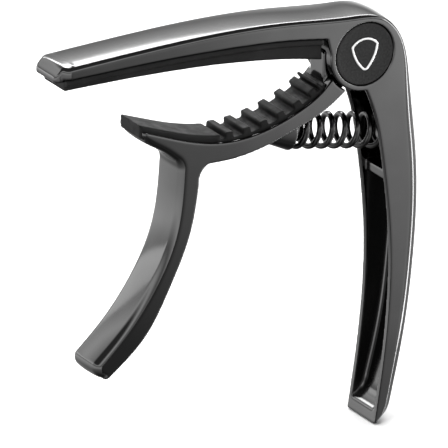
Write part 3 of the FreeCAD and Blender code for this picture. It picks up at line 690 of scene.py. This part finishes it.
def compression_spring():
    """Coil with partly closed ends, between the lever's boss and the seat in the handle."""
    coil_radius = SPRING_OUTER_RADIUS - SPRING_WIRE / 2
    turns = np.linspace(0, SPRING_COILS, SPRING_COILS * STEPS_PER_COIL + 1)
    inset = SPRING_WIRE / 2 + SEAT_GAP
    dead_rise = SPRING_WIRE * DEAD_TURN * CLOSED_PITCH
    length = SPRING_LENGTH - 2 * inset
    rise = np.interp(turns, [0, DEAD_TURN, SPRING_COILS - DEAD_TURN, SPRING_COILS],
                     [0, dead_rise, length - dead_rise, length])
    window = 2 * EASING + 1
    padded = np.pad(rise, EASING, mode="reflect", reflect_type="odd")
    smooth = np.convolve(padded, np.ones(window) / window, mode="valid")
    angle = 2 * math.pi * turns
    axis = np.array([SPRING_RUN[0], 0, SPRING_RUN[1]])
    side = np.array([0, 1.0, 0])
    upright = np.cross(axis, side)
    seat = np.array([LEVER_SEAT[0], 0, LEVER_SEAT[1]])
    path = seat + np.outer(inset + smooth, axis) \
        + coil_radius * (np.outer(np.cos(angle), upright) + np.outer(np.sin(angle), side))
    coil = tube("spring_coil", path, SPRING_WIRE / 2, WIRE_SIDES)
    coil.data.materials.append(MATERIALS["spring_steel"])
    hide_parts("compression_spring")
    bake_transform(coil)
    return coil


# ---------------------------------------------------------------- cap discs and inlay
CAP_SIDES = 120
CAP_RADIUS = CAP_HIGH[0]
CAP_THICK = CAP_HIGH[1] - CAP_LOW[1]
CAP_FACE = -CAP_LOW[1]
INLAY_HEIGHT = INLAY_HIGH[2] - INLAY_LOW[2]
INLAY_WIDTH = INLAY_HIGH[0] - INLAY_LOW[0]
CAP_RIM_ROUND = 0.18
CAP_BACK_CHAMFER = 0.1
CAP_RIM_WIDTH = 0.5          # from the rim to the inner edge of the level ring
CAP_DISH_EDGE = 0.62         # from the rim to where the dish is full depth
CAP_DISH_DEPTH = 0.05
INLAY_LINE = 0.55
INLAY_SHOULDER = 0.26        # height of its upper corners, as a share of INLAY_HEIGHT
INLAY_FLANK = (0.78, 0.33)   # bulge of its sides, as shares of half the width and of the height
INLAY_POINT = (0.22, 0.05)   # its rounded point, as the same shares
INLAY_SECTION = [(-0.5, -0.4), (-0.5, 0.45), (-0.38, 0.85), (-0.15, 1.0),
                 (0.15, 1.0), (0.38, 0.85), (0.5, 0.45), (0.5, -0.4)]     # in line widths and heights


def cap_disc(name, side, node):
    """Turned disc with a soft rim and a faintly dished face, on one side of the pivot."""
    face, back = CAP_FACE, CAP_FACE - CAP_THICK
    low_face = face - CAP_DISH_DEPTH
    profile = [(0, back), (CAP_RADIUS - CAP_BACK_CHAMFER, back), (CAP_RADIUS, back + CAP_BACK_CHAMFER),
               (CAP_RADIUS, face - CAP_RIM_ROUND)]
    rim = arc_points((CAP_RADIUS - CAP_RIM_ROUND, face - CAP_RIM_ROUND), CAP_RIM_ROUND, 0, 90, 6)[1:]
    dished = [(CAP_RADIUS - CAP_RIM_WIDTH, face), (CAP_RADIUS - CAP_DISH_EDGE, low_face),
              (CAP_RADIUS / 2, low_face), (0, low_face)]
    profile += [tuple(p) for p in rim] + dished
    turns = 2 * math.pi * np.arange(CAP_SIDES) / CAP_SIDES
    corners, faces = [], []
    for radius, y in profile[1:-1]:
        corners += [(radius * math.cos(t), side * y, radius * math.sin(t)) for t in turns]
    last = len(corners)
    corners += [(0, side * profile[0][1], 0), (0, side * profile[-1][1], 0)]
    for k in range(len(profile) - 3):
        for j in range(CAP_SIDES):
            a, b = k * CAP_SIDES + j, k * CAP_SIDES + (j + 1) % CAP_SIDES
            faces.append((a, b, b + CAP_SIDES, a + CAP_SIDES)[::side])
    for j in range(CAP_SIDES):
        after = (j + 1) % CAP_SIDES
        top = last - CAP_SIDES
        faces.append((last, after, j)[::side])
        faces.append((last + 1, top + j, top + after)[::side])
    return finish_piece(make_mesh(name, corners, faces), "frame", "cap_black", node)


def plectrum_line():
    """Closed centre line of the plectrum-shaped inlay."""
    half_width, top = (INLAY_WIDTH - INLAY_LINE) / 2, (INLAY_HEIGHT - INLAY_LINE) / 2
    shoulder_z, low = INLAY_HEIGHT * INLAY_SHOULDER, -top
    point_x, point_z = half_width * INLAY_POINT[0], low + INLAY_HEIGHT * INLAY_POINT[1]
    flank_x, flank_z = half_width * INLAY_FLANK[0], shoulder_z - INLAY_HEIGHT * INLAY_FLANK[1]
    arcs = [through_arc((-half_width, shoulder_z), (0, top), (half_width, shoulder_z), 26),
            through_arc((half_width, shoulder_z), (flank_x, flank_z), (point_x, point_z), 26),
            through_arc((point_x, point_z), (0, low), (-point_x, point_z), 10),
            through_arc((-point_x, point_z), (-flank_x, flank_z), (-half_width, shoulder_z), 26)]
    return np.concatenate([a[:-1] for a in arcs])


def inlay():
    """Low domed metal line, in the shape of a plectrum, on the front cap."""
    line = plectrum_line()
    ahead = np.roll(line, -1, axis=0) - np.roll(line, 1, axis=0)
    ahead /= np.linalg.norm(ahead, axis=1)[:, None]
    out = np.stack([ahead[:, 1], -ahead[:, 0]], axis=1)
    height = INLAY_HIGH[1] - INLAY_LOW[1]
    corners, faces = [], []
    for across, up in INLAY_SECTION:
        for (x, z), (ox, oz) in zip(line, out):
            offset = across * INLAY_LINE
            corners.append((x + ox * offset, -CAP_FACE - up * height, z + oz * offset))
    n = len(line)
    for k in range(len(INLAY_SECTION)):
        after = (k + 1) % len(INLAY_SECTION)
        for j in range(n):
            a, b = k * n + j, k * n + (j + 1) % n
            faces.append((a, b, after * n + (j + 1) % n, after * n + j))
    outline = make_mesh("plectrum_inlay", corners, faces)
    return finish_piece(outline, "frame", "inlay_nickel", "front_cap_inlay")


# ---------------------------------------------------------------- materials
NOISE_LOW, NOISE_HIGH = 0.35, 0.65      # most of a noise texture lies between these


def noise(tree, scale, detail=2.0, roughness=0.5):
    place = tree.nodes.new("ShaderNodeTexCoord")
    node = tree.nodes.new("ShaderNodeTexNoise")
    node.inputs["Scale"].default_value = scale
    node.inputs["Detail"].default_value = detail
    node.inputs["Roughness"].default_value = roughness
    tree.links.new(place.outputs["Object"], node.inputs["Vector"])
    return node.outputs["Fac"]


def spread(tree, value, low, high):
    """A noise value, spread over a new range."""
    node = tree.nodes.new("ShaderNodeMapRange")
    node.inputs["From Min"].default_value = NOISE_LOW
    node.inputs["From Max"].default_value = NOISE_HIGH
    node.inputs["To Min"].default_value = low
    node.inputs["To Max"].default_value = high
    tree.links.new(value, node.inputs["Value"])
    return node.outputs["Result"]


def tint(tree, value, low, high):
    node = tree.nodes.new("ShaderNodeValToRGB")
    node.color_ramp.elements[0].position = NOISE_LOW
    node.color_ramp.elements[0].color = (*low, 1)
    node.color_ramp.elements[1].position = NOISE_HIGH
    node.color_ramp.elements[1].color = (*high, 1)
    tree.links.new(value, node.inputs["Fac"])
    return node.outputs["Color"]


def finish_material(name, colours, metallic, roughness, patch, grain, depth, specular):
    """Shader whose colour and roughness drift in soft patches, with a fine grain as bump."""
    made = bpy.data.materials.new(name)
    made.use_nodes = True
    tree = made.node_tree
    shader = tree.nodes["Principled BSDF"]
    shader.inputs["Metallic"].default_value = metallic
    shader.inputs["Specular IOR Level"].default_value = specular
    patches = noise(tree, patch, 3.0)
    tree.links.new(tint(tree, patches, *colours), shader.inputs["Base Color"])
    tree.links.new(spread(tree, noise(tree, patch * 2.7, 4.0), *roughness), shader.inputs["Roughness"])
    bump = tree.nodes.new("ShaderNodeBump")
    bump.inputs["Strength"].default_value = 1.0
    bump.inputs["Distance"].default_value = depth * MM
    tree.links.new(noise(tree, grain, 2.0, 0.6), bump.inputs["Height"])
    tree.links.new(bump.outputs["Normal"], shader.inputs["Normal"])
    return made


def grey(value, warmth=0.0):
    return (value * (1 + warmth), value, value * (1 - warmth))


# colours, metallic, roughness, scale of the patches, scale and depth in mm of the grain, specular
FINISHES = {
    "black_chrome": ((grey(0.115), grey(0.135)), 1.0, (0.11, 0.14), 60, 900, 0.0006, 0.5),
    "pad_rubber": ((grey(0.008), grey(0.013)), 0.0, (0.45, 0.6), 150, 3500, 0.02, 0.18),
    "spring_steel": ((grey(0.05), grey(0.09)), 1.0, (0.14, 0.24), 250, 2500, 0.002, 0.5),
    "pin_steel": ((grey(0.5), grey(0.58)), 1.0, (0.24, 0.36), 200, 4000, 0.002, 0.5),
    "bushing_brass": (((0.66, 0.48, 0.2), (0.76, 0.58, 0.28)), 1.0, (0.25, 0.4), 200, 3000, 0.002, 0.5),
    "washer_nylon": ((grey(0.74, 0.03), grey(0.8, 0.03)), 0.0, (0.45, 0.6), 200, 2500, 0.004, 0.5),
    "cap_black": ((grey(0.017), grey(0.03)), 0.0, (0.5, 0.7), 2600, 3200, 0.035, 0.15),
    "tape_white": ((grey(0.68, 0.02), grey(0.76, 0.02)), 0.0, (0.7, 0.85), 300, 3000, 0.01, 0.5),
    "inlay_nickel": ((grey(0.8), grey(0.88)), 1.0, (0.2, 0.3), 300, 4000, 0.001, 0.5),
}
MATERIALS = {name: finish_material(name, *finish) for name, finish in FINISHES.items()}


def finish_piece(piece, body, slot, node):
    """Give a piece its material, stand it in for its CAD node and let it ride on its body."""
    piece.data.materials.append(MATERIALS[slot])
    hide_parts(node)
    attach(piece, body)
    return piece


def dress_cad_nodes():
    slots = {part["node"]: part["material_slot"] for part in frame["record"]["subparts"]}
    for name, node in frame["nodes"].items():
        node.data.materials.clear()
        node.data.materials.append(MATERIALS[slots[name]])


# ---------------------------------------------------------------- floor, lights and camera
VIEW_AZIMUTH, VIEW_ELEVATION, VIEW_ROLL = math.radians(-28.9), math.radians(20.5), math.radians(-0.47)
VIEW_AIM = (-31.3, 0, -34.5)
VIEW_WIDTH = 95.15
LENS, SENSOR = 1540.0, 36.0
FLOOR_HALF = 6.0              # in metres


def sheet(name, corners, material):
    """Flat four-cornered sheet in metres, and the node tree of a new material on it."""
    mesh = bpy.data.meshes.new(name)
    mesh.from_pydata(corners, [], [(0, 1, 2, 3)])
    made = bpy.data.objects.new(name, mesh)
    bpy.context.scene.collection.objects.link(made)
    finish = bpy.data.materials.new(material)
    finish.use_nodes = True
    mesh.materials.append(finish)
    return made, finish.node_tree


def stage_floor():
    z = to_row((0, 0, -HANDLE_DROP))[2]
    corners = [(x * FLOOR_HALF, y * FLOOR_HALF, z) for x, y in ((-1, -1), (1, -1), (1, 1), (-1, 1))]
    floor, tree = sheet("floor", corners, "floor_pale")
    shader = tree.nodes["Principled BSDF"]
    shader.inputs["Base Color"].default_value = (0.9, 0.9, 0.9, 1)
    shader.inputs["Roughness"].default_value = 0.22
    floor.visible_glossy = False


def area_light(name, place, aim, size, power):
    light = bpy.data.lights.new(name, "AREA")
    light.shape = "RECTANGLE"
    light.size, light.size_y = size[0] * MM, size[1] * MM
    light.energy = power
    lamp = bpy.data.objects.new(name, light)
    lamp.location = to_row(place)
    toward = Vector(to_row(aim)) - lamp.location
    lamp.rotation_euler = toward.to_track_quat("-Z", "Y").to_euler()
    lamp.visible_camera = False
    bpy.context.scene.collection.objects.link(lamp)
    return lamp


# how far up a direction points, from -1 to 1, and how bright the studio is there
SKY = [(-1.0, 0.05), (-0.45, 0.5), (-0.12, 1.5), (0.1, 0.75),
       (0.22, 0.4), (0.36, 0.95), (0.48, 1.7), (0.66, 0.12)]
SKY_PEAK = 2.0
# how far across and up the front card, from 0 to 1, and the share of the card's peak there
CARD_GLOW = [(0.0, 0.01), (0.3, 0.07), (0.55, 0.3), (0.75, 0.65), (1.0, 1.0)]
CARD_PEAK = 1.9
CARD_TILT = 0.55              # how much of the grading runs across; the rest runs up


def ramp(tree, value, stops, peak):
    """Greys at stops between 0 and 1, as shares of a peak."""
    node = tree.nodes.new("ShaderNodeValToRGB")
    elements = node.color_ramp.elements
    elements[0].position, elements[1].position = stops[0][0], stops[-1][0]
    elements[0].color, elements[1].color = ((*grey(stop[1] / peak), 1) for stop in (stops[0], stops[-1]))
    for position, bright in stops[1:-1]:
        elements.new(position).color = (*grey(bright / peak), 1)
    tree.links.new(value, node.inputs["Fac"])
    return node.outputs["Color"]


def sky():
    world = bpy.data.worlds.new("studio")
    world.use_nodes = True
    tree = world.node_tree
    place = tree.nodes.new("ShaderNodeTexCoord")
    height = tree.nodes.new("ShaderNodeSeparateXYZ")
    share = tree.nodes.new("ShaderNodeMapRange")
    share.inputs["From Min"].default_value = -1.0
    tree.links.new(place.outputs["Generated"], height.inputs["Vector"])
    tree.links.new(height.outputs["Z"], share.inputs["Value"])
    stops = [((height_there + 1) / 2, bright) for height_there, bright in SKY]
    background = tree.nodes["Background"]
    tree.links.new(ramp(tree, share.outputs["Result"], stops, SKY_PEAK), background.inputs["Color"])
    background.inputs["Strength"].default_value = SKY_PEAK
    bpy.context.scene.world = world


def glowing_card(name, corners, peak):
    """Card that only reflections see; its emission strength is the peak."""
    card, tree = sheet(name, to_row(corners).tolist(), name)
    tree.nodes.remove(tree.nodes["Principled BSDF"])
    emitter = tree.nodes.new("ShaderNodeEmission")
    emitter.inputs["Strength"].default_value = peak
    tree.links.new(emitter.outputs["Emission"], tree.nodes["Material Output"].inputs["Surface"])
    card.visible_camera = card.visible_diffuse = card.visible_shadow = False
    return tree, emitter


def graded_card():
    """Front right, brighter up and to the right, for the flat sides to reflect."""
    low, high, y = (-60, -125), (60, 15), -60
    corners = [(low[0], y, low[1]), (high[0], y, low[1]), (high[0], y, high[1]), (low[0], y, high[1])]
    tree, emitter = glowing_card("graded_card", corners, CARD_PEAK)
    place = tree.nodes.new("ShaderNodeTexCoord")
    axes = tree.nodes.new("ShaderNodeSeparateXYZ")
    total = tree.nodes.new("ShaderNodeMath")
    total.operation = "MULTIPLY_ADD"
    total.inputs[1].default_value = CARD_TILT
    rest = tree.nodes.new("ShaderNodeMath")
    rest.operation = "MULTIPLY"
    rest.inputs[1].default_value = 1 - CARD_TILT
    tree.links.new(place.outputs["Generated"], axes.inputs["Vector"])
    tree.links.new(axes.outputs["Z"], rest.inputs[0])
    tree.links.new(axes.outputs["X"], total.inputs[0])
    tree.links.new(rest.outputs[0], total.inputs[2])
    tree.links.new(ramp(tree, total.outputs[0], CARD_GLOW, 1.0), emitter.inputs["Color"])


def studio():
    sky()
    graded_card()
    bpy.context.scene.view_settings.view_transform = "Standard"
    area_light("overhead", (-30, 60, 520), (-20, 0, -40), (600, 400), 6.5).visible_glossy = False
    area_light("behind", (180, 420, 352), (-30, 0, 8), (620, 105), 1.75)
    glowing_card("right_strip", [(120, -52, -240), (120, -30, -240), (120, -30, 60), (120, -52, 60)], 9.0)
    glowing_card("left_panel", [(-320, 200, -5), (-120, 300, -5), (-120, 300, 60), (-320, 200, 60)], 2.2)


def camera():
    toward = np.array([math.sin(VIEW_AZIMUTH) * math.cos(VIEW_ELEVATION),
                       -math.cos(VIEW_AZIMUTH) * math.cos(VIEW_ELEVATION), math.sin(VIEW_ELEVATION)])
    data = bpy.data.cameras.new("camera")
    data.lens, data.sensor_width = LENS, SENSOR
    distance = LENS / SENSOR * VIEW_WIDTH * MM
    data.clip_start, data.clip_end = 0.01, 50
    eye = bpy.data.objects.new("camera", data)
    eye.location = to_row(VIEW_AIM) + toward * distance
    turned = Vector(-toward).to_track_quat("-Z", "Y") @ Quaternion((0, 0, 1), VIEW_ROLL)
    eye.rotation_euler = turned.to_euler()
    bpy.context.scene.collection.objects.link(eye)
    bpy.context.scene.camera = eye


camera()
studio()
stage_floor()
dress_cad_nodes()
frame_casting()
trigger_lever()
string_pad()
neck_pad()
compression_spring()
cap_disc("front_cap_disc", FRONT, "front_cap")
cap_disc("rear_cap_disc", REAR, "rear_cap")
inlay()

bpy.context.view_layer.update()
